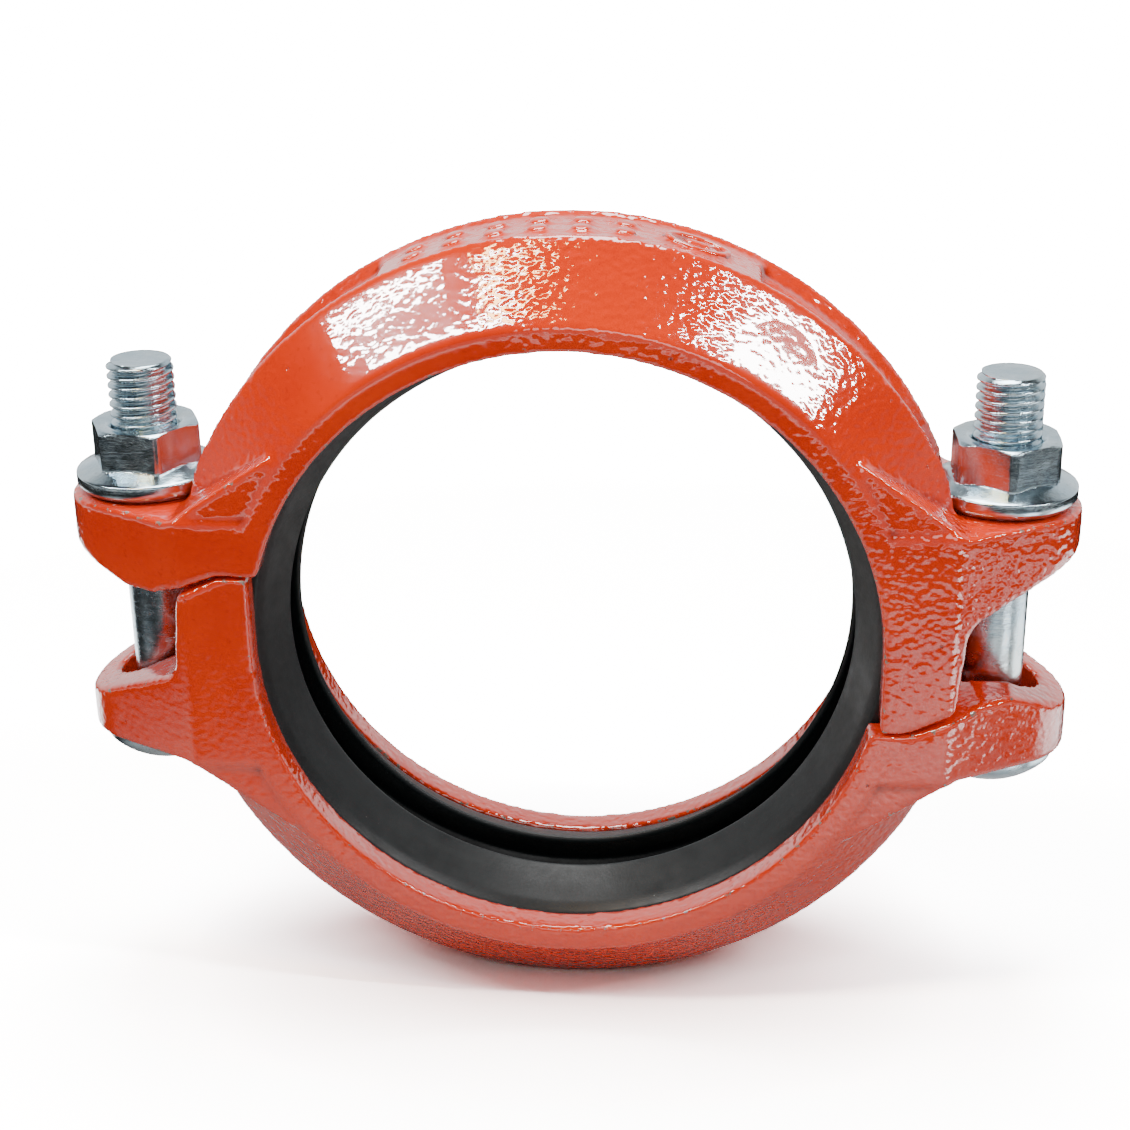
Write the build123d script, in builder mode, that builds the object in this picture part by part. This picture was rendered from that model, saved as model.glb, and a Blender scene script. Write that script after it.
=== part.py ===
"""Rigid grooved-end pipe coupling, DN 100, with two M12 track-head bolts.

Frame: origin on the pipe axis, midway between the two keys.
Y runs along the pipe, the front key faces -Y, Z is up and X runs from bolt to bolt.
Dimensions are in millimetres.
"""

import os
from math import cos, radians, sin, sqrt, tan

from build123d import *

os.makedirs("parts", exist_ok=True)

# Housing ring section
KEY_R = 55.5  # radius of the key that drops into the pipe groove
KEY_W = 6.0  # length of each key along the pipe
HALF_W = 21.5  # half of the housing width over the key faces
FACE_R = 59.8  # outer radius of the flat key face
CREST_R = 73.0  # radius of the two outer ridges
CREST_Y = 9.0  # distance of each ridge from the mid-plane
VALLEY_R = 70.2  # bottom of the channel between the ridges
VALLEY_Y = 6.2
EDGE_FILLET = 0.6
CAVITY_R = 65.0  # gasket pocket
CAVITY_Y = HALF_W - KEY_W
SHOULDER_R = 60.2  # where the pocket wall starts to slope
SHOULDER_Y = 10.8

# Bolt ears and webs
BOLT_X = 77.0
EAR_R = 14.0
EAR_ROOT_X = 67.5
SHORT_SEAT_Z = 24.0  # bolt seat of the short ear
WEB_SEAT_Z = 23.0  # bolt seat of the webbed ear
WEB_Z = 13.7  # end of the web, below the bolt line of its own ear
PAD_Z = 14.1  # flat pad on the short ear that the opposite web closes on
PAD_FLAT_X = 61.0
EAR_INNER_Z = 9.4
EAR_RELIEF = 0.45  # slope of the inner ear face outside the pad
WEB_X = 69.3
SLOT_W = 14.0
SLOT_L = 17.0

# Track bolts and flange nuts
BOLT_R = 6.0
PITCH = 1.75
THREAD_ROOT_R = 5.0
THREAD_TURNS = 19
SHANK_R = 5.8
BOLT_OVER_SEAT = 23.4  # bolt end above the nut seat
TIP_CHAMFER = 0.6
NECK_CLEAR = 0.3
NECK_H = 6.5
HEAD_R = 12.2
HEAD_RIM = 2.0
HEAD_H = 7.6
NUT_AF = 18.0
NUT_H = 12.0
NUT_CHAMFER_R = 9.2
NUT_BORE_R = 6.08
FLANGE_R = 13.0
FLANGE_FOOT_R = 11.8  # bearing face, inside the bevelled underside of the flange
FLANGE_FOOT_H = 1.3
FLANGE_RIM_Z = 3.3  # top of the upright rim
FLANGE_CLEAR = 0.6
CONE_TOP_Z = 5.0  # where the flange cone meets the flats of the hexagon
LEFT_NUT_TURN = 23.8  # degrees from -Y toward +X of one corner
RIGHT_NUT_TURN = 1.2

# Gasket
GASKET_CLEAR = 0.3
LIP_R = 51.3
LIP_Y = 5.0
LIP_ROOT_R = 54.9
LIP_ROOT_Y = 13.2
CHANNEL_R = 61.0
CHANNEL_Y = 9.0

# Raised marks on the pad between the ridges
PAD_HALF_ANGLE = 28.0
PAD_R = 71.8
PAD_Y = 7.5
MARK_H = 0.7
DOT_ANGLES = (-22, -16, -10, -4, 2, 8)
DOT_R = 1.8
DOT_Y = 2.7
DISC_ANGLE = 18


def crown_section(angle):
    """Plane through the pipe axis at an angle from the top; its X points outward."""
    a = radians(angle)
    return Plane(origin=(0, 0, 0), x_dir=(sin(a), 0, cos(a)), z_dir=(cos(a), 0, -sin(a)))


def crown_plane(angle, radius):
    """Plane tangent to the ring at an angle from the top, facing outward."""
    a = radians(angle)
    return Plane(
        origin=(radius * sin(a), 0, radius * cos(a)),
        x_dir=(cos(a), 0, -sin(a)),
        z_dir=(sin(a), 0, cos(a)),
    )


# One casting: a half ring with a short ear on the left and a webbed ear on the right.
with BuildPart() as upper_housing:
    # Outer body of the ring
    with BuildSketch(Plane.XY) as ring_section:
        with BuildLine():
            Polyline(
                (0, -HALF_W),
                (FACE_R, -HALF_W),
                (CREST_R, -CREST_Y),
                (VALLEY_R, -VALLEY_Y),
                (VALLEY_R, VALLEY_Y),
                (CREST_R, CREST_Y),
                (FACE_R, HALF_W),
                (0, HALF_W),
                close=True,
            )
        make_face()
        outer_corners = ring_section.vertices().filter_by_position(Axis.X, 1, 100)
        fillet(outer_corners, radius=EDGE_FILLET)
    revolve(axis=Axis.Y)
    with BuildSketch(Plane.XY):
        add(ring_section.sketch)
    extrude(amount=-30)

    # Ears and webs, full width at the root and round about each bolt
    for side, seat in ((-1, SHORT_SEAT_Z), (1, WEB_SEAT_Z)):
        with BuildSketch(Plane.XY.offset(-WEB_Z - 5)):
            with Locations((side * BOLT_X, 0)):
                Circle(EAR_R)
            with Locations((side * (EAR_ROOT_X - 10), 0)):
                Rectangle(20, 2 * HALF_W - 0.3)
            make_hull()
        extrude(amount=seat + WEB_Z + 5)

    # Gussets from the ear up onto the bevel of the ring
    for face in (-1, 1):
        for side, seat in ((-1, SHORT_SEAT_Z), (1, WEB_SEAT_Z)):
            with BuildSketch(Plane.XZ.offset(-face * (HALF_W - 0.9))):
                with BuildLine():
                    Polyline(
                        (side * 50.5, 36.3),
                        (side * 69.2, seat - 0.2),
                        (side * 52.0, seat - 1.0),
                        close=True,
                    )
                make_face()
            extrude(amount=face * 12)

    # Pad that fills the channel at the crown, with raised marks
    with BuildSketch(crown_section(-PAD_HALF_ANGLE)):
        with Locations((PAD_R - 3, 0)):
            Rectangle(6, 2 * PAD_Y)
    revolve(axis=Axis.Y, revolution_arc=2 * PAD_HALF_ANGLE)
    for angle in DOT_ANGLES:
        with BuildSketch(crown_plane(angle, PAD_R - 1)):
            with Locations((0, -DOT_Y), (0, DOT_Y)):
                Circle(DOT_R)
        extrude(amount=1 + MARK_H)
    with BuildSketch(crown_plane(DISC_ANGLE, PAD_R - 1)):
        Ellipse(6.0, 4.2)
        Ellipse(4.8, 3.0, mode=Mode.SUBTRACT)
        RectangleRounded(4.4, 2.2, 0.9)
    extrude(amount=1 + MARK_H)

    # Bore between the keys and the gasket pocket, straight-sided past the diameter
    with BuildSketch(Plane.XY) as bore_section:
        with BuildLine():
            Polyline(
                (0, -HALF_W - 1),
                (KEY_R, -HALF_W - 1),
                (KEY_R, -CAVITY_Y),
                (SHOULDER_R, -CAVITY_Y),
                (CAVITY_R, -SHOULDER_Y),
                (CAVITY_R, SHOULDER_Y),
                (SHOULDER_R, CAVITY_Y),
                (KEY_R, CAVITY_Y),
                (KEY_R, HALF_W + 1),
                (0, HALF_W + 1),
                close=True,
            )
        make_face()
    revolve(axis=Axis.Y, mode=Mode.SUBTRACT)
    with BuildSketch(Plane.XY):
        add(bore_section.sketch)
        mirror(bore_section.sketch, about=Plane.YZ)
    extrude(amount=-31, mode=Mode.SUBTRACT)

    # Everything on the far side of the parting line
    with BuildSketch(Plane.XZ) as parting:
        with BuildLine():
            Polyline(
                (-120, -120),
                (-120, EAR_INNER_Z + EAR_RELIEF * (120 - 79)),
                (-79, EAR_INNER_Z),
                (-73.5, EAR_INNER_Z),
                (-PAD_FLAT_X, PAD_Z),
                (-30, PAD_Z),
                (-30, -WEB_Z),
                (PAD_FLAT_X, -WEB_Z),
                (WEB_X - 0.6, -WEB_Z + 3.6),
                (WEB_X + 0.9, 6.0),
                (120, 6.0 + EAR_RELIEF * (120 - WEB_X - 0.9)),
                (120, -120),
                close=True,
            )
        make_face()
        web_root = parting.vertices().filter_by_position(Axis.X, WEB_X, WEB_X + 2)
        fillet(web_root, radius=4.5)
        web_toe = parting.vertices().filter_by_position(Axis.X, WEB_X - 1, WEB_X)
        fillet(web_toe, radius=2.0)
    extrude(amount=50, both=True, mode=Mode.SUBTRACT)

    # Room beside the ring for the flange of the nut or the head of the bolt
    for side, seat in ((-1, SHORT_SEAT_Z), (1, WEB_SEAT_Z)):
        with BuildSketch(Plane.XY.offset(seat)):
            with Locations((side * BOLT_X, 0)):
                Circle(FLANGE_R + FLANGE_CLEAR)
        extrude(amount=NUT_H + FLANGE_CLEAR, mode=Mode.SUBTRACT)

    # Oval bolt holes
    with BuildSketch(Plane.XY.offset(-1)):
        with Locations((-BOLT_X, 0), (BOLT_X, 0)):
            SlotOverall(SLOT_L, SLOT_W)
    extrude(amount=SHORT_SEAT_Z + 2, mode=Mode.SUBTRACT)

upper_housing.part.label = "upper_housing"
export_step(upper_housing.part, "parts/upper_housing.step")

# The same casting turned half a turn about the pipe axis.
with BuildPart() as lower_housing:
    add(upper_housing.part, rotation=(0, 180, 0))
lower_housing.part.label = "lower_housing"
export_step(lower_housing.part, "parts/lower_housing.step")

# C-section ring: outer shape follows the pocket, two lips slope inward to their tips.
with BuildPart() as gasket:
    with BuildSketch(Plane.XY):
        with BuildLine():
            Polyline(
                (LIP_R, -LIP_Y),
                (LIP_ROOT_R, -LIP_ROOT_Y),
                (LIP_ROOT_R + 1.2, -CAVITY_Y + GASKET_CLEAR),
                (SHOULDER_R - 0.2, -CAVITY_Y + GASKET_CLEAR),
                (CAVITY_R - GASKET_CLEAR, -SHOULDER_Y + 0.2),
                (CAVITY_R - GASKET_CLEAR, SHOULDER_Y - 0.2),
                (SHOULDER_R - 0.2, CAVITY_Y - GASKET_CLEAR),
                (LIP_ROOT_R + 1.2, CAVITY_Y - GASKET_CLEAR),
                (LIP_ROOT_R, LIP_ROOT_Y),
                (LIP_R, LIP_Y),
                (LIP_R + 1.1, LIP_Y - 0.4),
                (CHANNEL_R - 2.5, CHANNEL_Y),
                (CHANNEL_R, CHANNEL_Y - 2.0),
                (CHANNEL_R, -CHANNEL_Y + 2.0),
                (CHANNEL_R - 2.5, -CHANNEL_Y),
                (LIP_R + 1.1, -LIP_Y + 0.4),
                close=True,
            )
        make_face()
    revolve(axis=Axis.Y)
gasket.part.label = "gasket"
export_step(gasket.part, "parts/gasket.step")

for name, side, head_seat, nut_seat, turn in (
    ("left", -1, WEB_SEAT_Z, SHORT_SEAT_Z, LEFT_NUT_TURN),
    ("right", 1, SHORT_SEAT_Z, WEB_SEAT_Z, RIGHT_NUT_TURN),
):
    bolt_plane = Plane((side * BOLT_X, 0, -head_seat))
    bolt_section = Plane(bolt_plane.origin, x_dir=(1, 0, 0), z_dir=(0, -1, 0))
    nut_plane = Plane((side * BOLT_X, 0, nut_seat))
    nut_section = Plane(nut_plane.origin, x_dir=(1, 0, 0), z_dir=(0, -1, 0))
    bolt_end = nut_seat + BOLT_OVER_SEAT + head_seat

    # Track bolt: domed head, oval neck in the lower ear, smooth shank, thread ridges.
    with BuildPart() as bolt:
        ridges = []
        first_crest = bolt_end - TIP_CHAMFER - PITCH / 4
        for turn_index in range(THREAD_TURNS):
            crest = first_crest - turn_index * PITCH
            ridges.append((BOLT_R, crest + PITCH / 16))
            ridges.append((BOLT_R, crest - PITCH / 16))
            ridges.append((THREAD_ROOT_R, crest - PITCH * 0.44))
            ridges.append((THREAD_ROOT_R, crest - PITCH * 0.56))
        thread_start = first_crest - THREAD_TURNS * PITCH
        dome_h = HEAD_H - HEAD_RIM
        dome_r = (HEAD_R**2 + dome_h**2) / (2 * dome_h)
        dome_middle = (HEAD_R / 2, dome_r - HEAD_H - sqrt(dome_r**2 - HEAD_R**2 / 4))
        with BuildSketch(bolt_section):
            with BuildLine():
                Polyline(
                    (0, -HEAD_H),
                    (0, bolt_end),
                    (BOLT_R - TIP_CHAMFER, bolt_end),
                    *ridges,
                    (SHANK_R, thread_start),
                    (SHANK_R, 0),
                    (HEAD_R, 0),
                    (HEAD_R, -HEAD_RIM),
                )
                ThreePointArc((HEAD_R, -HEAD_RIM), dome_middle, (0, -HEAD_H))
            make_face()
        revolve(axis=Axis(bolt_plane.origin, (0, 0, 1)))
        with BuildSketch(bolt_plane):
            SlotOverall(SLOT_L - 2 * NECK_CLEAR, SLOT_W - 2 * NECK_CLEAR)
        extrude(amount=NECK_H)
    bolt.part.label = f"bolt_{name}"
    export_step(bolt.part, f"parts/bolt_{name}.step")

    # Flange nut: hexagon with chamfered corners standing on a coned flange.
    with BuildPart() as nut:
        with BuildSketch(nut_plane):
            RegularPolygon(NUT_AF / 2, 6, major_radius=False, rotation=turn - 90)
        extrude(amount=NUT_H)
        with BuildSketch(nut_section):
            with BuildLine():
                corner_r = NUT_AF / 2 / cos(radians(30))
                Polyline(
                    (NUT_CHAMFER_R, NUT_H),
                    (corner_r + 0.3, NUT_H - (corner_r + 0.3 - NUT_CHAMFER_R) * tan(radians(30))),
                    (corner_r + 0.3, NUT_H + 1),
                    (NUT_CHAMFER_R, NUT_H + 1),
                    close=True,
                )
            make_face()
        revolve(axis=Axis(nut_plane.origin, (0, 0, 1)), mode=Mode.SUBTRACT)
        with BuildSketch(nut_section):
            with BuildLine():
                Polyline(
                    (0, 0),
                    (FLANGE_FOOT_R, 0),
                    (FLANGE_R, FLANGE_FOOT_H),
                    (FLANGE_R, FLANGE_RIM_Z),
                    (NUT_AF / 2, CONE_TOP_Z),
                    (0, CONE_TOP_Z),
                    close=True,
                )
            make_face()
        revolve(axis=Axis(nut_plane.origin, (0, 0, 1)))
        with BuildSketch(nut_plane.offset(-1)):
            Circle(NUT_BORE_R)
        extrude(amount=NUT_H + 2, mode=Mode.SUBTRACT)
    nut.part.label = f"nut_{name}"
    export_step(nut.part, f"parts/nut_{name}.step")
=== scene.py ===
"""Looks of a rigid grooved pipe coupling: cast enamel, zinc plating, rubber, camera and light."""

from math import cos, exp, pi, radians, sin, sqrt, tan

import bmesh
import bpy
import numpy as np
from mathutils import Matrix, Vector, noise


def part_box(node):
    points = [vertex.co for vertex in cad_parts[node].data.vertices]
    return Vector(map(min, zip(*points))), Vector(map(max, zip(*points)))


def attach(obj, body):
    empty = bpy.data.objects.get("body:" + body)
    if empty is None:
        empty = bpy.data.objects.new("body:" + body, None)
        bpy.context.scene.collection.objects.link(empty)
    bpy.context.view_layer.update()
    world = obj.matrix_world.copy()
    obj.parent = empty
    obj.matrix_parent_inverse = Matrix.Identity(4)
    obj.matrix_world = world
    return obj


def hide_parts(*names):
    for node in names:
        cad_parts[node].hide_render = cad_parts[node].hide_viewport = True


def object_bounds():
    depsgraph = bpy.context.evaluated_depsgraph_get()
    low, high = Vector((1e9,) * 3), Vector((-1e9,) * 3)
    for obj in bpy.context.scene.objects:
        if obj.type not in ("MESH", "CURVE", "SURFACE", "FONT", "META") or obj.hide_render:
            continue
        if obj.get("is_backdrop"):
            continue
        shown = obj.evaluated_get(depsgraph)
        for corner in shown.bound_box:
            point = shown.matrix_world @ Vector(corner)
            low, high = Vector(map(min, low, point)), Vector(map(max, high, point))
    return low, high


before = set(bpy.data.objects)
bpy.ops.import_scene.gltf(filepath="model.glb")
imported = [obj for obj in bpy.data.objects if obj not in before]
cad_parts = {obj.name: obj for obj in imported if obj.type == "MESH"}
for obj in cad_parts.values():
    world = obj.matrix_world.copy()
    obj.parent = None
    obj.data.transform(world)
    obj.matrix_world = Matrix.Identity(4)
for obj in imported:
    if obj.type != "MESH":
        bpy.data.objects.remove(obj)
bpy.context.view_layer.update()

MM = 0.001
TURN = 2 * pi

# Bolts and nuts, in millimetres
BOLT_R = 6.0
PITCH = 1.75
THREAD_ROOT_R = 5.02
THREAD_LENGTH = 33.5
SHANK_R = 5.8
TIP_CHAMFER = 0.6
HEAD_R = 12.2
HEAD_RIM = 2.0
HEAD_H = 7.6
NECK_H = 6.5
NECK_W = 13.4
NECK_L = 16.4
NUT_AF = 18.0
NUT_H = 12.0
NUT_CHAMFER_R = 9.2
NUT_BORE_R = 6.08
FLANGE_R = 13.0
FLANGE_FOOT_R = 11.8
FLANGE_FOOT_H = 1.3
FLANGE_RIM_Z = 3.3
CONE_TOP_Z = 5.0
NUT_TURN = {"left": 23.8, "right": 1.2}
BOLT_SIDES = 96
DOME_STEPS = 14
SHANK_STEPS = 40
THREAD_STEPS = 10
HEAD_FILLET = 0.7
NECK_SINK = 0.3
NUT_SIDES = 240

# Gasket section, in millimetres
GASKET_OUTER = 64.7
GASKET_Y = 15.15
RIM_R = 56.1
SHOULDER_R = 60.0
SHOULDER_Y = 10.6
LIP_R = 51.3
LIP_Y = 5.0
LIP_ROOT_R = 54.9
LIP_ROOT_Y = 13.2
CHANNEL_R = 61.0
CHANNEL_Y = 9.0
GASKET_FILLET = 0.55
GASKET_STEP = 1.2
GASKET_SIDES = 360

# Raised marks on the crown pads: angles from the top, in degrees, and lengths in millimetres
PAD_R = 71.8
DOT_ANGLES = (-22, -16, -10, -4, 2, 8)
DOT_R = 1.8
DOT_Y = 2.7
DISC_ANGLE = 18
DISC = (5.4, 3.6)
BAR = (2.2, 1.1)
BAR_POWER = 0.6
MARK_SIDES = 40

# Brightness of the surroundings: what matt surfaces see in front and behind, what gloss mirrors
# (a pale wall behind, a dim room above, a lighter band near the floor), and the camera's backdrop
FRONT_SKY = 0.04
BACK_SKY = 0.32
GLOSS_WALL = 1.0
GLOSS_ROOM = 0.02
GLOSS_LOW = 0.30
BACKDROP = 12.0

# Where the enamel pooled smooth: centre and reach in metres, and the share of orange peel left.
# Inside the core share of its reach a spot is fully smooth.
CALM_CORE = 0.45
CALM_SPOTS = (
    ((-0.031, -0.016, 0.058), 0.032, 0.08),
    ((0.036, -0.017, 0.053), 0.016, 0.08),
    ((-0.068, -0.0215, 0.0), 0.050, 0.55),
)

# White cards as gloss sees them on the floor: centre, outer and inner reach in metres, brightness
CARDS = (
    ((0.09, -0.15, 0), 0.08, 0.02, 0.66),
    ((0.175, -0.115, 0), 0.048, 0.026, 2.6),
    ((0.27, -0.09, 0), 0.06, 0.03, 0.65),
    ((0.225, 0.03, 0), 0.09, 0.05, 1.9),
    ((-0.15, -0.06, 0), 0.07, 0.01, 0.3),
    ((-0.18, 0.11, 0), 0.08, 0.05, 2.2),
)

# Cast skin: voxels and smoothing, lumps and orange peel per metre and their heights, an inset that
# keeps them inside the casting's size, and how the bend of the surface is scaled and spread
SKIN_VOXEL = 0.65 * MM
SKIN_SMOOTH = 7
LUMPS_PER_M = 300
LUMP_H = 0.026 * MM
PEEL_PER_M = 720
PEEL_H = 0.02 * MM
SKIN_INSET = 0.036 * MM
BEND_GAIN = 4.6
BEND_SPREAD = 0.8

# Floor, in metres, then the camera: place and lens in millimetres, turns in degrees
FLOOR_HALF = 3.0
FLOOR_GAP = 0.0002
CAMERA_PLACE = (25.0, -349.8, 156.2)
CAMERA_YAW = -4.29
CAMERA_PITCH = 22.81
CAMERA_ROLL = -0.76
CAMERA_LENS = 66.2
CAMERA_SENSOR = 36

# Soft boxes: name, direction, direction of the long side, distance, size, power, colour
WHITE = (1, 1, 1)
SOFTBOXES = (
    ("left_box", (-0.400, -0.234, 0.665), (0.42, -0.08, 0.23), 0.79, (0.48, 0.018), 2.4, WHITE),
    ("crest_box", (-0.510, -0.176, 0.600), (0.42, -0.08, 0.30), 0.79, (0.34, 0.010), 1.1, WHITE),
    ("right_box", (0.500, -0.232, 0.575), (0.49, 0.08, -0.42), 0.79, (0.42, 0.020), 2.8, WHITE),
    ("warm_box", (-0.188, -0.222, 0.753), (1, 0, 0.2), 0.81, (0.20, 0.030), 0.9, (1.0, 0.60, 0.24)),
    ("overhead", (0.0, 0.25, 0.97), (1, 0, 0), 0.90, (0.45, 0.45), 9.0, WHITE),
    ("front_fill", (0.15, -0.80, 0.55), (1, 0, 0), 0.90, (0.60, 0.30), 1.3, WHITE),
)


# ---------------------------------------------------------------- node helpers
class Tree:
    """Short calls for building a material's node tree."""

    def __init__(self, name):
        self.material = bpy.data.materials.new(name)
        self.material.use_nodes = True
        self.nodes = self.material.node_tree.nodes
        self.links = self.material.node_tree.links
        self.shader = self.nodes["Principled BSDF"]
        self.place = self.add("ShaderNodeTexCoord").outputs["Object"]

    def add(self, kind, **values):
        node = self.nodes.new(kind)
        for key, value in values.items():
            setattr(node, key, value)
        return node

    def feed(self, socket, value):
        if isinstance(value, bpy.types.NodeSocket):
            self.links.new(value, socket)
        else:
            socket.default_value = value

    def maths(self, operation, first, second):
        node = self.add("ShaderNodeMath", operation=operation)
        self.feed(node.inputs[0], first)
        self.feed(node.inputs[1], second)
        return node.outputs[0]

    def noise(self, scale, detail, roughness=0.5, vector=None):
        node = self.add("ShaderNodeTexNoise")
        self.feed(node.inputs["Vector"], vector or self.place)
        node.inputs["Scale"].default_value = scale
        node.inputs["Detail"].default_value = detail
        node.inputs["Roughness"].default_value = roughness
        return node.outputs["Fac"]

    def cells(self, scale):
        node = self.add("ShaderNodeTexVoronoi", feature="F1")
        self.feed(node.inputs["Vector"], self.place)
        node.inputs["Scale"].default_value = scale
        return node.outputs["Distance"]

    def stretch(self, scale):
        node = self.add("ShaderNodeMapping")
        self.feed(node.inputs["Vector"], self.place)
        node.inputs["Scale"].default_value = scale
        return node.outputs["Vector"]

    def span(self, value, low, high, to_low=0.0, to_high=1.0):
        node = self.add("ShaderNodeMapRange", clamp=True)
        self.feed(node.inputs["Value"], value)
        node.inputs["From Min"].default_value = low
        node.inputs["From Max"].default_value = high
        node.inputs["To Min"].default_value = to_low
        node.inputs["To Max"].default_value = to_high
        return node.outputs["Result"]

    def reach(self, centre, start, end, to_low=0.0, to_high=1.0):
        """Value that changes with the distance from a centre, between the start and end distances."""
        gap = self.add("ShaderNodeVectorMath", operation="DISTANCE")
        self.feed(gap.inputs[0], self.place)
        gap.inputs[1].default_value = centre
        return self.span(gap.outputs["Value"], start, end, to_low, to_high)

    def blend(self, factor, first, second):
        node = self.add("ShaderNodeMix", data_type="RGBA")
        self.feed(node.inputs[0], factor)
        self.feed(node.inputs[6], first)
        self.feed(node.inputs[7], second)
        return node.outputs[2]

    def bump(self, height, distance, strength, under=None):
        node = self.add("ShaderNodeBump")
        self.feed(node.inputs["Height"], height)
        node.inputs["Distance"].default_value = distance
        node.inputs["Strength"].default_value = strength
        if under is not None:
            self.links.new(under, node.inputs["Normal"])
        return node.outputs["Normal"]

    def attribute(self, name):
        return self.add("ShaderNodeAttribute", attribute_name=name).outputs["Fac"]

    def set(self, **values):
        for key, value in values.items():
            self.feed(self.shader.inputs[key.replace("_", " ")], value)


def rgb(red, green, blue):
    """Linear colour from 0-255 display values."""
    out = [((c / 255 + 0.055) / 1.055) ** 2.4 if c > 10 else c / 3294.6 for c in (red, green, blue)]
    return (*out, 1.0)


# ------------------------------------------------------------------- materials
def enamel():
    """Thick glossy orange-red enamel over sand-cast iron, worn to metal on sharp edges."""
    t = Tree("red_enamel")
    cloud = t.span(t.noise(55, detail=3), 0.35, 0.7)
    base = t.blend(cloud, (0.80, 0.033, 0.0008, 1), (0.90, 0.046, 0.001, 1))
    base = t.blend(t.span(t.noise(900, detail=2), 0.60, 0.8, 0, 0.3), base, (0.42, 0.02, 0.006, 1))
    pits = t.span(t.cells(230), 0.03, 0.10, 1, 0)
    pits = t.maths("MULTIPLY", pits, t.span(t.noise(140, detail=1), 0.56, 0.62))
    base = t.blend(t.maths("MULTIPLY", pits, 0.75), base, (0.10, 0.02, 0.01, 1))
    # Colour darkened in concave creases and round the foot of the raised marks
    crease_dark = t.span(t.attribute("crease"), 0.14, 0.32)
    base = t.blend(t.maths("MULTIPLY", crease_dark, 0.75), base, (0.16, 0.008, 0.003, 1))
    edge = t.attribute("edge")
    ragged = t.span(t.noise(420, detail=4, roughness=0.7), 0.3, 0.7, -0.35, 0.35)
    chips = t.maths("ADD", edge, ragged)
    wear = t.span(chips, 0.63, 0.71)
    metal = t.blend(t.noise(700, detail=3), (0.16, 0.10, 0.07, 1), (0.40, 0.32, 0.25, 1))
    base = t.blend(wear, base, metal)
    rough = t.span(t.noise(130, detail=2), 0.3, 0.7, 0.12, 0.20)
    rough = t.maths("ADD", rough, t.maths("MULTIPLY", wear, 0.3))
    calm = t.span(t.noise(26, detail=1), 0.36, 0.56, 0.75, 1.0)
    for spot, reach, least in CALM_SPOTS:
        calm = t.maths("MULTIPLY", calm, t.reach(spot, reach * CALM_CORE, reach, least, 1.0))
    peel = t.noise(760, detail=0.0, vector=t.stretch((1.0, 1.0, 1.15)))
    waves = t.noise(170, detail=2)
    bumps = t.bump(t.maths("MULTIPLY", waves, calm), 0.00030, 0.35)
    bumps = t.bump(t.maths("MULTIPLY", peel, calm), 0.00019, 0.9, under=bumps)
    fine = t.noise(1500, detail=0.0)
    bumps = t.bump(t.maths("MULTIPLY", fine, calm), 0.00005, 0.8, under=bumps)
    bumps = t.bump(t.maths("MULTIPLY", pits, -1.0), 0.0003, 0.8, under=bumps)
    t.links.new(bumps, t.shader.inputs["Coat Normal"])
    t.set(Coat_Weight=1.0, Coat_Roughness=0.03, Coat_IOR=2.0)
    t.set(Base_Color=base, Roughness=rough, Normal=bumps, IOR=1.5, Specular_IOR_Level=0.2)
    return t.material


def zinc(name, mottled):
    """Bright blue-white zinc plating with fine scratches and dull patches."""
    t = Tree(name)
    tone = t.noise(160, detail=4, roughness=0.6)
    base = t.blend(t.span(tone, 0.3, 0.7), rgb(178, 204, 218), rgb(214, 231, 238))
    tint = t.span(t.noise(70, detail=2), 0.52, 0.72)
    base = t.blend(t.maths("MULTIPLY", tint, 0.35), base, rgb(208, 204, 186))
    base = t.blend(t.span(t.noise(1500, detail=2), 0.6, 0.8, 0, 0.3), base, rgb(120, 128, 136))
    scratches = t.noise(260, detail=5, roughness=0.75, vector=t.stretch((1.0, 1.0, 9.0)))
    rough = t.span(scratches, 0.35, 0.7, 0.12, 0.12 + mottled)
    rough = t.maths("ADD", rough, t.span(t.noise(420, detail=3), 0.5, 0.75, 0, mottled))
    bumps = t.bump(t.noise(330, detail=3), 0.00018, 0.35)
    bumps = t.bump(scratches, 0.00005, 0.5, under=bumps)
    bumps = t.bump(t.noise(2200, detail=2), 0.00002, 0.5, under=bumps)
    t.set(Base_Color=base, Metallic=1.0, Roughness=rough, Normal=bumps)
    return t.material


def rubber():
    """Satin moulded rubber with faint rubbed bands and a little dust."""
    t = Tree("black_rubber")
    bands = t.noise(60, detail=4, roughness=0.6, vector=t.stretch((1.0, 8.0, 1.0)))
    base = t.blend(t.span(bands, 0.3, 0.75), (0.006, 0.0095, 0.0105, 1), (0.011, 0.0155, 0.0165, 1))
    dust = t.span(t.cells(420), 0.02, 0.07, 1, 0)
    dust = t.maths("MULTIPLY", dust, t.span(t.noise(90, detail=3), 0.55, 0.68))
    base = t.blend(t.maths("MULTIPLY", dust, 0.6), base, rgb(150, 152, 150))
    rough = t.span(t.noise(210, detail=4, roughness=0.65), 0.3, 0.7, 0.36, 0.50)
    rough = t.maths("ADD", rough, t.maths("MULTIPLY", dust, 0.3))
    bumps = t.bump(t.noise(95, detail=2), 0.0006, 0.25)
    bumps = t.bump(t.noise(1500, detail=3, roughness=0.6), 0.00005, 0.6, under=bumps)
    t.set(Base_Color=base, Roughness=rough, Normal=bumps, Specular_IOR_Level=0.5)
    return t.material


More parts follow.
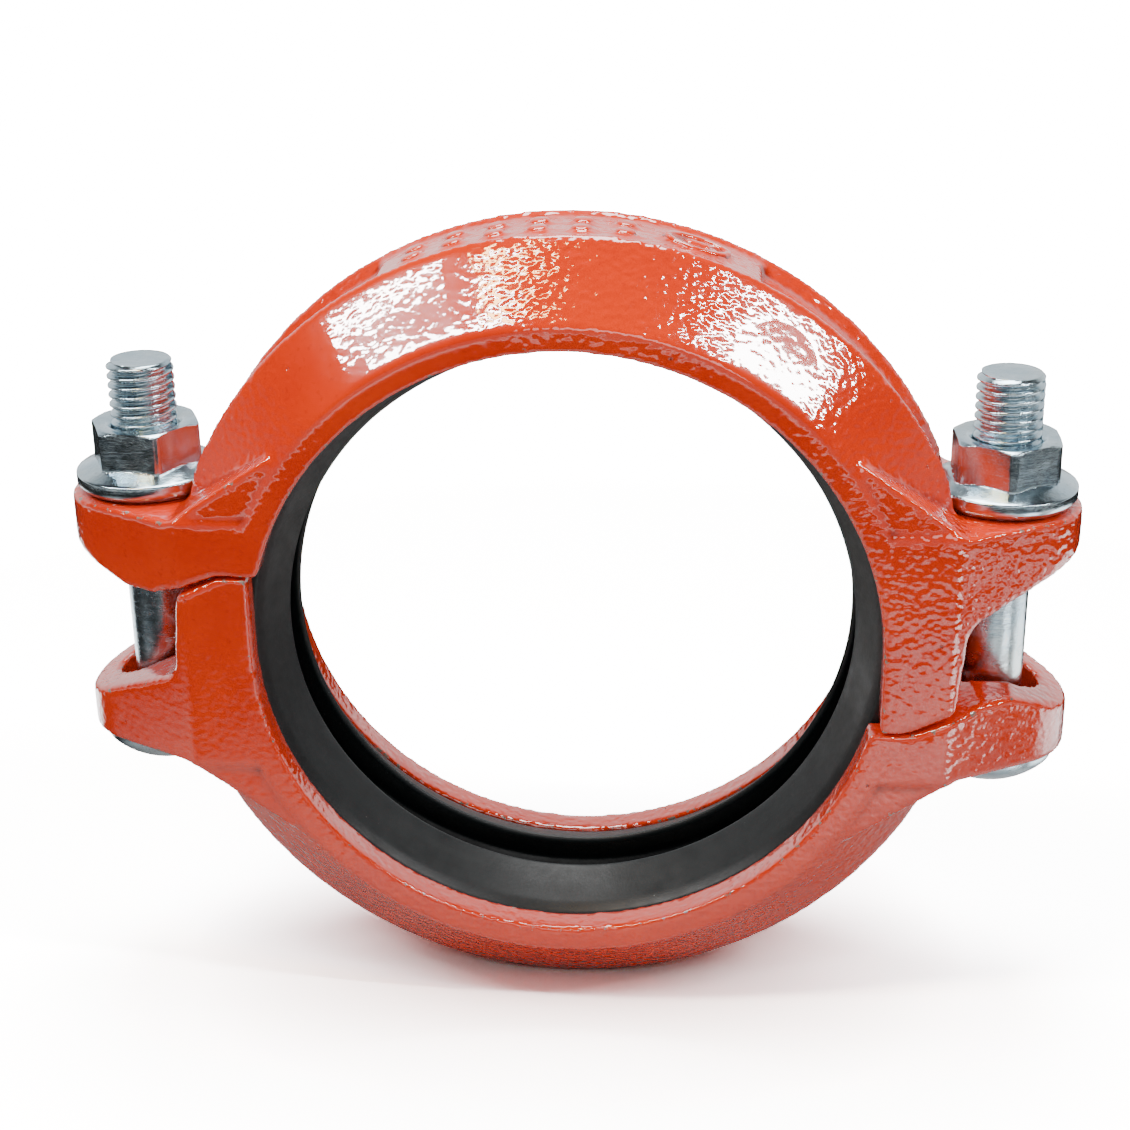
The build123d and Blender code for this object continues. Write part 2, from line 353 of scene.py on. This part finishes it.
def floor_finish():
    """Pale table top. In gloss it fades to a dark room away from the object, but for the cards."""
    t = Tree("pale_floor")
    t.place = t.stretch((1.0, 1.0, 0.0))
    pale = t.blend(t.noise(3, detail=2), (0.84, 0.85, 0.86, 1), (0.86, 0.865, 0.87, 1))
    ray = t.add("ShaderNodeLightPath")
    outside = t.reach((0, -0.03, 0), 0.02, 0.095)
    bounce = t.blend(outside, (0.84, 0.84, 0.84, 1), (0.50, 0.50, 0.50, 1))
    pale = t.blend(ray.outputs["Is Diffuse Ray"], pale, bounce)
    dimmed = t.reach((0.03, -0.03, 0), 0.09, 0.175)
    mirror = t.blend(dimmed, (0.42, 0.42, 0.42, 1), (0.015, 0.015, 0.015, 1))
    mirror = t.blend(t.reach((0, 0, 0), 0.50, 0.64), mirror, (1.1, 1.1, 1.1, 1))
    for centre, start, end, white in CARDS:
        mirror = t.blend(t.reach(centre, start, end), mirror, (white, white * 1.02, white * 1.04, 1))
    base = t.blend(ray.outputs["Is Glossy Ray"], pale, mirror)
    far = t.reach((0, 0, 0), 0.25, 1.6)
    seen = t.blend(far, (9.0, 9.05, 9.1, 1), (70, 70.5, 71, 1))
    # Painted contact shadow: the floor the camera sees turns reddish brown where ambient occlusion
    # finds the object close above
    painted_shadow_ao = t.add("ShaderNodeAmbientOcclusion", samples=8)
    painted_shadow_ao.inputs["Distance"].default_value = 0.035
    seen = t.blend(t.maths("POWER", painted_shadow_ao.outputs["AO"], 1.6), (0.50, 0.30, 0.25, 1), seen)
    base = t.blend(ray.outputs["Is Camera Ray"], base, seen)
    t.set(Base_Color=base, Roughness=0.8, Specular_IOR_Level=0.0)
    return t.material


# ----------------------------------------------------------------- mesh helpers
def new_object(name, mesh, material):
    mesh.materials.clear()
    mesh.materials.append(material)
    for polygon in mesh.polygons:
        polygon.use_smooth = True
    piece = bpy.data.objects.new(name, mesh)
    bpy.context.scene.collection.objects.link(piece)
    return piece


def surface(name, rows, material, wrap=False, cap_start=None, cap_end=None, sharp=None):
    """Closed quad surface through rows of points; a cap is one point that closes an end."""
    form = bmesh.new()
    made = [[form.verts.new(point) for point in row] for row in rows]
    pairs = list(zip(made, made[1:]))
    if wrap:
        pairs.append((made[-1], made[0]))
    for low, high in pairs:
        for i in range(len(low)):
            k = (i + 1) % len(low)
            form.faces.new((low[i], low[k], high[k], high[i]))
    for cap, ring in ((cap_start, made[0]), (cap_end, made[-1])):
        if cap is None:
            continue
        point = form.verts.new(cap)
        for i in range(len(ring)):
            form.faces.new((ring[i], ring[(i + 1) % len(ring)], point))
    bmesh.ops.remove_doubles(form, verts=form.verts, dist=1e-7)
    bmesh.ops.dissolve_degenerate(form, edges=form.edges, dist=1e-8)
    bmesh.ops.recalc_face_normals(form, faces=form.faces)
    if sharp is not None:
        for edge in form.edges:
            if len(edge.link_faces) == 2 and edge.calc_face_angle() > sharp:
                edge.smooth = False
    mesh = bpy.data.meshes.new(name)
    form.to_mesh(mesh)
    form.free()
    return new_object(name, mesh, material)


def rounded(outline, radius):
    """Outline with each inner corner replaced by a short arc-like curve."""
    steps = 4
    out = [outline[0]]
    for before, corner, after in zip(outline, outline[1:], outline[2:]):
        corner = Vector(corner)
        back = Vector(before) - corner
        ahead = Vector(after) - corner
        cut = min(radius, back.length * 0.45, ahead.length * 0.45)
        start = corner + back.normalized() * cut
        end = corner + ahead.normalized() * cut
        for i in range(steps + 1):
            u = i / steps
            out.append(tuple(start * (1 - u) ** 2 + corner * 2 * u * (1 - u) + end * u**2))
    out.append(outline[-1])
    return out


# ---------------------------------------------------------------- cast housings
def cast_skin(node, body, material):
    """Housing with softened casting edges and a sand-cast surface."""
    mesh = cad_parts[node].data.copy()
    form = bmesh.new()
    form.from_mesh(mesh)
    bmesh.ops.remove_doubles(form, verts=form.verts, dist=1e-6)
    form.to_mesh(mesh)
    form.free()
    source = bpy.data.objects.new(node + "_source", mesh)
    bpy.context.scene.collection.objects.link(source)
    remesh = source.modifiers.new("remesh", "REMESH")
    remesh.mode = "VOXEL"
    remesh.voxel_size = SKIN_VOXEL
    smooth = source.modifiers.new("smooth", "SMOOTH")
    smooth.factor = 0.5
    smooth.iterations = SKIN_SMOOTH
    depsgraph = bpy.context.evaluated_depsgraph_get()
    skin = bpy.data.meshes.new_from_object(source.evaluated_get(depsgraph))
    bpy.data.objects.remove(source)

    count = len(skin.vertices)
    points = np.zeros(count * 3)
    skin.vertices.foreach_get("co", points)
    points = points.reshape(-1, 3)
    normals = np.zeros(count * 3)
    skin.vertices.foreach_get("normal", normals)
    normals = normals.reshape(-1, 3)

    ends = np.zeros(len(skin.edges) * 2, int)
    skin.edges.foreach_get("vertices", ends)
    ends = ends.reshape(-1, 2)
    curve = np.zeros(count)
    links = np.zeros(count)
    for a, b in ((0, 1), (1, 0)):
        step = points[ends[:, b]] - points[ends[:, a]]
        np.add.at(curve, ends[:, a], -(step * normals[ends[:, a]]).sum(1))
        np.add.at(links, ends[:, a], 1)
    curve = curve / np.maximum(links, 1) / SKIN_VOXEL
    for name, bend in (("edge", curve), ("crease", -curve)):
        for _ in range(2):
            spread = bend.copy()
            np.maximum.at(spread, ends[:, 0], bend[ends[:, 1]] * BEND_SPREAD)
            np.maximum.at(spread, ends[:, 1], bend[ends[:, 0]] * BEND_SPREAD)
            bend = spread
        layer = skin.attributes.new(name, "FLOAT", "POINT")
        layer.data.foreach_set("value", np.clip(bend * BEND_GAIN, 0, 1))

    lumps = np.array([noise.fractal(p * LUMPS_PER_M, 0.7, 2.0, 3) for p in map(Vector, points)])
    peel = np.array([noise.noise(p * PEEL_PER_M) for p in map(Vector, points)])
    calm = np.ones(count)
    for spot, reach, least in CALM_SPOTS:
        gap = np.linalg.norm(points - np.array(spot), axis=1)
        calm *= np.interp(gap, (reach * CALM_CORE, reach), (least, 1.0))
    depth = calm * (LUMP_H * lumps + PEEL_H * peel) - SKIN_INSET
    points += normals * depth[:, None]
    skin.vertices.foreach_set("co", points.ravel())
    piece = new_object(node + "_cast", skin, material)
    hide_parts(node)
    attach(piece, body)


def marks(half, turn, body, material):
    """Raised marks of a crown pad: pairs of dots, and an oval ring round a small bar."""
    form = bmesh.new()
    crease_dark_layer = form.verts.layers.float.new("crease")

    def outline(long, wide, power=1.0):
        out = []
        for i in range(MARK_SIDES):
            a = TURN * i / MARK_SIDES
            c, d = cos(a), sin(a)
            u = long * abs(c) ** power * (1 if c > 0 else -1)
            v = wide * abs(d) ** power * (1 if d > 0 else -1)
            out.append((Vector((u, v)), Vector((c * wide, d * long)).normalized()))
        return out

    def raise_up(angle, y, points, profile, ring):
        a = radians(angle) + turn
        rows = []
        for offset, height, crease_dark_share in profile:
            row = []
            for point, normal in points:
                u, v = point + normal * offset
                r = PAD_R + height
                place = Vector((r * sin(a) + u * cos(a), y + v, r * cos(a) - u * sin(a)))
                vert = form.verts.new(place * MM)
                vert[crease_dark_layer] = crease_dark_share
                row.append(vert)
            rows.append(row)
        pairs = list(zip(rows, rows[1:]))
        if ring:
            pairs.append((rows[-1], rows[0]))
        for low, high in pairs:
            for i in range(MARK_SIDES):
                k = (i + 1) % MARK_SIDES
                form.faces.new((low[i], low[k], high[k], high[i]))
        if not ring:
            form.faces.new(rows[-1])
            form.faces.new(rows[0])

    # Profiles: distance outside the outline, height over the pad, share of darkening at the foot
    solid = (
        (0.50, -0.30, 1),
        (0.34, 0.03, 1),
        (0.10, 0.20, 0.8),
        (0.00, 0.44, 0),
        (-0.16, 0.62, 0),
        (-0.46, 0.75, 0),
        (-0.85, 0.83, 0),
    )
    wall = ((1.1, -0.30, 1), (0.94, 0.03, 1), (0.70, 0.20, 0.8), (0.60, 0.48, 0), (0.40, 0.74, 0))
    hoop = wall + tuple((-offset, height, crease_dark_share) for offset, height, crease_dark_share in reversed(wall))
    for angle in DOT_ANGLES:
        for y in (-DOT_Y, DOT_Y):
            raise_up(angle, y, outline(DOT_R, DOT_R), solid, False)
    raise_up(DISC_ANGLE, 0, outline(*DISC), hoop, True)
    raise_up(DISC_ANGLE, 0, outline(*BAR, BAR_POWER), solid, False)
    bmesh.ops.recalc_face_normals(form, faces=form.faces)
    mesh = bpy.data.meshes.new(f"{half}_marks")
    form.to_mesh(mesh)
    form.free()
    piece = new_object(f"{half}_marks", mesh, material)
    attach(piece, body)


# --------------------------------------------------------------- bolts and nuts
def thread_radius(phase):
    """Radius of a rounded 60 degree thread at a phase of 0 to 1 along the pitch."""
    height = abs((phase % 1.0) - 0.5) * 2
    ramp = min(1.0, max(0.0, (height - 0.14) / 0.70))
    ramp = ramp * ramp * (3 - 2 * ramp) * 0.35 + ramp * 0.65
    return THREAD_ROOT_R + (BOLT_R - THREAD_ROOT_R) * ramp


def bolt(side, body, material):
    """Track bolt: domed head, smooth shank and a true right-hand helix."""
    node = f"bolt_{side}"
    low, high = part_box(node)
    x0 = (low.x + high.x) / 2 / MM
    top = high.z / MM
    seat = low.z / MM + HEAD_H
    angles = [TURN * i / BOLT_SIDES for i in range(BOLT_SIDES)]

    def ring(z, radius):
        return [((x0 + radius * cos(a)) * MM, radius * sin(a) * MM, z * MM) for a in angles]

    dome_h = HEAD_H - HEAD_RIM
    dome_r = (HEAD_R**2 + dome_h**2) / (2 * dome_h)
    dome = []
    for i in range(1, DOME_STEPS + 1):
        r = HEAD_R * i / DOME_STEPS
        dome.append((r, -HEAD_H + dome_r - sqrt(dome_r**2 - r * r)))
    outline = rounded(dome[:-1] + [(HEAD_R, -HEAD_RIM), (HEAD_R, 0), (SHANK_R, 0)], HEAD_FILLET)
    rows = [ring(seat + z, r) for r, z in outline]
    start = top - THREAD_LENGTH
    for i in range(1, SHANK_STEPS + 1):
        rows.append(ring(seat + (start - seat) * i / SHANK_STEPS, SHANK_R))
    count = int((THREAD_LENGTH / PITCH + 2) * THREAD_STEPS)
    for j in range(count):
        row = []
        for a in angles:
            raw = start + (j / THREAD_STEPS + a / TURN - 1) * PITCH
            z = min(max(raw, start), top)
            phase = (z - start) / PITCH - a / TURN
            runout = min(1.0, (z - start) / (1.5 * PITCH))
            r = SHANK_R + (thread_radius(phase) - SHANK_R) * runout
            r = min(r, BOLT_R - TIP_CHAMFER + top - z)
            row.append(((x0 + r * cos(a)) * MM, r * sin(a) * MM, z * MM))
        rows.append(row)
    for k in (0.82, 0.6, 0.3):
        rows.append(ring(top - 0.10 * (1 - k), BOLT_R * k))
    cap_low = (x0 * MM, 0, (seat - HEAD_H) * MM)
    cap_high = (x0 * MM, 0, (top - 0.12) * MM)
    piece = surface(
        f"{node}_threaded", rows, material, cap_start=cap_low, cap_end=cap_high, sharp=radians(48)
    )
    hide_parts(node)
    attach(piece, body)

    half = (NECK_L - NECK_W) / 2
    corner = NECK_W / 2

    def oval(z, inset):
        row = []
        for a in angles:
            shift = half if cos(a) > 0 else -half
            r = corner - inset
            row.append(((x0 + shift + r * cos(a)) * MM, r * sin(a) * MM, z * MM))
        return row

    neck_rows = [oval(seat - NECK_SINK, 0.0), oval(seat + NECK_H - 0.9, 0.0)]
    neck_rows += [oval(seat + NECK_H - 0.4, 0.15), oval(seat + NECK_H, 0.7)]
    neck_rows.append([((x0 + 5 * cos(a)) * MM, 5 * sin(a) * MM, (seat + NECK_H) * MM) for a in angles])
    neck = surface(
        f"{node}_neck",
        neck_rows,
        material,
        cap_start=(x0 * MM, 0, (seat - NECK_SINK) * MM),
        cap_end=(x0 * MM, 0, (seat + NECK_H) * MM),
        sharp=radians(50),
    )
    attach(neck, body)


def nut(side, material):
    """Flange nut: rounded hexagon with a chamfered top, a coned flange and a clear bore."""
    node = f"nut_{side}"
    low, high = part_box(node)
    x0 = (low.x + high.x) / 2 / MM
    seat = low.z / MM
    angles = [TURN * i / NUT_SIDES for i in range(NUT_SIDES)]
    corner_angle = radians(NUT_TURN[side] - 90)

    def hexagon(a):
        local = (a - corner_angle) % (pi / 3) - pi / 6
        flat = NUT_AF / 2 / cos(local)
        return flat - 0.35 * exp(-((pi / 6 - abs(local)) / 0.035) ** 2)

    def outer(a, z):
        body = min(hexagon(a), NUT_CHAMFER_R + (NUT_H - z) / tan(radians(30)))
        run = (z - FLANGE_RIM_Z) / (CONE_TOP_Z - FLANGE_RIM_Z)
        cone = FLANGE_R - (FLANGE_R - NUT_AF / 2) * max(0.0, run)
        foot = FLANGE_FOOT_R + (FLANGE_R - FLANGE_FOOT_R) * min(1.0, z / FLANGE_FOOT_H)
        gap = cone - body
        return min(foot, body + 0.5 * (gap + sqrt(gap * gap + 0.02)))

    # Rows crowd together at the foot bevel, the rim, the foot of the hexagon and its top chamfer.
    heights = [0.0, 0.3, 0.7, 1.1, 1.3, 1.5, 2.2, 3.0, 3.15]
    heights += [3.3 + 0.14 * i for i in range(16)]
    heights += [5.7 + 0.5 * i for i in range(9)]
    heights += [10.1 + 0.12 * i for i in range(16)]
    heights += [NUT_H]
    trim = {0.0: 0.1, 1.3: 0.1, 3.3: 0.12, 3.15: 0.02}
    rows = [[((x0 + NUT_BORE_R * cos(a)) * MM, NUT_BORE_R * sin(a) * MM, seat * MM) for a in angles]]
    for z in heights:
        row = []
        for a in angles:
            r = outer(a, z) - trim.get(z, 0.0)
            r = min(r, FLANGE_R)
            row.append(((x0 + r * cos(a)) * MM, r * sin(a) * MM, (seat + z) * MM))
        rows.append(row)
    inner = [(8.7, NUT_H), (7.3, NUT_H), (6.9, NUT_H - 0.1), (NUT_BORE_R, NUT_H - 0.95)]
    inner += [(NUT_BORE_R, NUT_H - 1.0 - (NUT_H - 1.4) * i / 12) for i in range(13)]
    for r, z in inner:
        rows.append([((x0 + r * cos(a)) * MM, r * sin(a) * MM, (seat + z) * MM) for a in angles])
    piece = surface(f"{node}_hex", rows, material, wrap=True, sharp=radians(40))
    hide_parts(node)
    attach(piece, node)


# --------------------------------------------------------------------- gasket
def gasket_ring(material):
    """Moulded C-section ring with two inward lips."""
    outer = [
        (LIP_R, LIP_Y),
        (LIP_ROOT_R, LIP_ROOT_Y),
        (RIM_R, GASKET_Y),
        (SHOULDER_R, GASKET_Y),
        (GASKET_OUTER, SHOULDER_Y),
    ]
    inner = [(LIP_R + 1.1, LIP_Y - 0.4), (CHANNEL_R - 2.5, CHANNEL_Y), (CHANNEL_R, CHANNEL_Y - 2.0)]
    outline = [(r, -y) for r, y in outer] + outer[::-1] + inner + [(r, -y) for r, y in inner[::-1]]
    loop = outline[-1:] + outline + outline[:1]
    section = rounded(loop, GASKET_FILLET)[1:-1]
    fine = []
    for (r1, y1), (r2, y2) in zip(section, section[1:] + section[:1]):
        steps = max(1, int(sqrt((r1 - r2) ** 2 + (y1 - y2) ** 2) / GASKET_STEP))
        for i in range(steps):
            fine.append((r1 + (r2 - r1) * i / steps, y1 + (y2 - y1) * i / steps))
    rows = []
    for i in range(GASKET_SIDES):
        a = TURN * i / GASKET_SIDES
        wave = 0.10 * noise.noise(Vector((4 * cos(a), 4 * sin(a), 1.7)))
        row = []
        for r, y in fine:
            lip = max(0.0, 1 - (r - LIP_R) / 4)
            radius = r + lip * (0.12 + wave)
            row.append((radius * sin(a) * MM, y * MM, radius * cos(a) * MM))
        rows.append(row)
    piece = surface("gasket_ring", rows, material, wrap=True, sharp=radians(60))
    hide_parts("gasket")
    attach(piece, "gasket")


# ---------------------------------------------------------- floor, light, camera
def floor():
    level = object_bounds()[0][2] - FLOOR_GAP
    mesh = bpy.data.meshes.new("floor")
    corners = [(x * FLOOR_HALF, y * FLOOR_HALF, level) for x, y in ((-1, -1), (1, -1), (1, 1), (-1, 1))]
    mesh.from_pydata(corners, [], [(0, 1, 2, 3)])
    plane = new_object("floor", mesh, floor_finish())
    plane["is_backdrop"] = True


def softbox(name, direction, along, distance, size, power, tint):
    """Rectangular area light facing the object; its long side runs in the direction of along."""
    data = bpy.data.lights.new(name, "AREA")
    data.shape = "RECTANGLE"
    data.size, data.size_y = size
    data.energy = power
    data.color = tint
    lamp = bpy.data.objects.new(name, data)
    bpy.context.scene.collection.objects.link(lamp)
    away = Vector(direction).normalized()
    across = away.cross(Vector(along)).normalized()
    turn = Matrix((across.cross(away), across, away)).transposed()
    lamp.matrix_world = Matrix.Translation(away * distance) @ turn.to_4x4()


def sky():
    """Surroundings: dim in front and brighter behind, with a share of their own for gloss."""
    world = bpy.data.worlds.new("studio")
    world.use_nodes = True
    nodes = world.node_tree.nodes
    links = world.node_tree.links
    back = nodes["Background"]
    place = nodes.new("ShaderNodeTexCoord")
    split = nodes.new("ShaderNodeSeparateXYZ")
    links.new(place.outputs["Generated"], split.inputs[0])
    ramp = nodes.new("ShaderNodeMapRange")
    links.new(split.outputs["Y"], ramp.inputs["Value"])
    ramp.inputs["From Min"].default_value = -0.45
    ramp.inputs["From Max"].default_value = 0.05
    ramp.inputs["To Min"].default_value = FRONT_SKY
    ramp.inputs["To Max"].default_value = BACK_SKY
    bands = []
    for axis, start, end in (("Y", 0.10, 0.45), ("Z", 0.80, 0.55)):
        band = nodes.new("ShaderNodeMapRange")
        links.new(split.outputs[axis], band.inputs["Value"])
        band.inputs["From Min"].default_value = start
        band.inputs["From Max"].default_value = end
        bands.append(band.outputs["Result"])
    wall = nodes.new("ShaderNodeMath")
    wall.operation = "MULTIPLY"
    links.new(bands[0], wall.inputs[0])
    links.new(bands[1], wall.inputs[1])
    shine = nodes.new("ShaderNodeMath")
    shine.operation = "MULTIPLY_ADD"
    links.new(wall.outputs[0], shine.inputs[0])
    shine.inputs[1].default_value = GLOSS_WALL
    skirting = nodes.new("ShaderNodeMapRange")
    links.new(split.outputs["Z"], skirting.inputs["Value"])
    skirting.inputs["From Min"].default_value = 0.35
    skirting.inputs["From Max"].default_value = 0.10
    skirting.inputs["To Min"].default_value = GLOSS_ROOM
    skirting.inputs["To Max"].default_value = GLOSS_LOW
    links.new(skirting.outputs["Result"], shine.inputs[2])
    ray = nodes.new("ShaderNodeLightPath")
    lit = nodes.new("ShaderNodeMix")
    links.new(ray.outputs["Is Glossy Ray"], lit.inputs[0])
    links.new(ramp.outputs["Result"], lit.inputs[2])
    links.new(shine.outputs[0], lit.inputs[3])
    strength = nodes.new("ShaderNodeMix")
    links.new(ray.outputs["Is Camera Ray"], strength.inputs[0])
    links.new(lit.outputs[0], strength.inputs[2])
    strength.inputs[3].default_value = BACKDROP
    links.new(strength.outputs[0], back.inputs["Strength"])
    back.inputs["Color"].default_value = (0.97, 0.985, 1.0, 1)
    bpy.context.scene.world = world


def camera():
    """Camera a little to the right and above, looking down at the ring."""
    yaw, pitch, roll = radians(CAMERA_YAW), radians(CAMERA_PITCH), radians(CAMERA_ROLL)
    ahead = Vector((sin(yaw) * cos(pitch), cos(yaw) * cos(pitch), -sin(pitch)))
    right = Vector((cos(yaw), -sin(yaw), 0))
    up = right.cross(ahead)
    right_rolled = right * cos(roll) + up * sin(roll)
    up_rolled = up * cos(roll) - right * sin(roll)
    data = bpy.data.cameras.new("camera")
    data.sensor_width = CAMERA_SENSOR
    data.lens = CAMERA_LENS
    data.clip_start = 0.01
    item = bpy.data.objects.new("camera", data)
    bpy.context.scene.collection.objects.link(item)
    turn = Matrix((right_rolled, up_rolled, -ahead)).transposed()
    item.matrix_world = Matrix.Translation(Vector(CAMERA_PLACE) * MM) @ turn.to_4x4()
    bpy.context.scene.camera = item


red = enamel()
cast_skin("upper_housing", "upper_housing", red)
cast_skin("lower_housing", "lower_housing", red)
marks("upper", 0.0, "upper_housing", red)
marks("lower", pi, "lower_housing", red)
bolt_zinc = zinc("zinc_bolt", 0.16)
nut_zinc = zinc("zinc_nut", 0.08)
for side in ("left", "right"):
    bolt(side, "lower_housing", bolt_zinc)
    nut(side, nut_zinc)
gasket_ring(rubber())

floor()
sky()
for box in SOFTBOXES:
    softbox(*box)
camera()
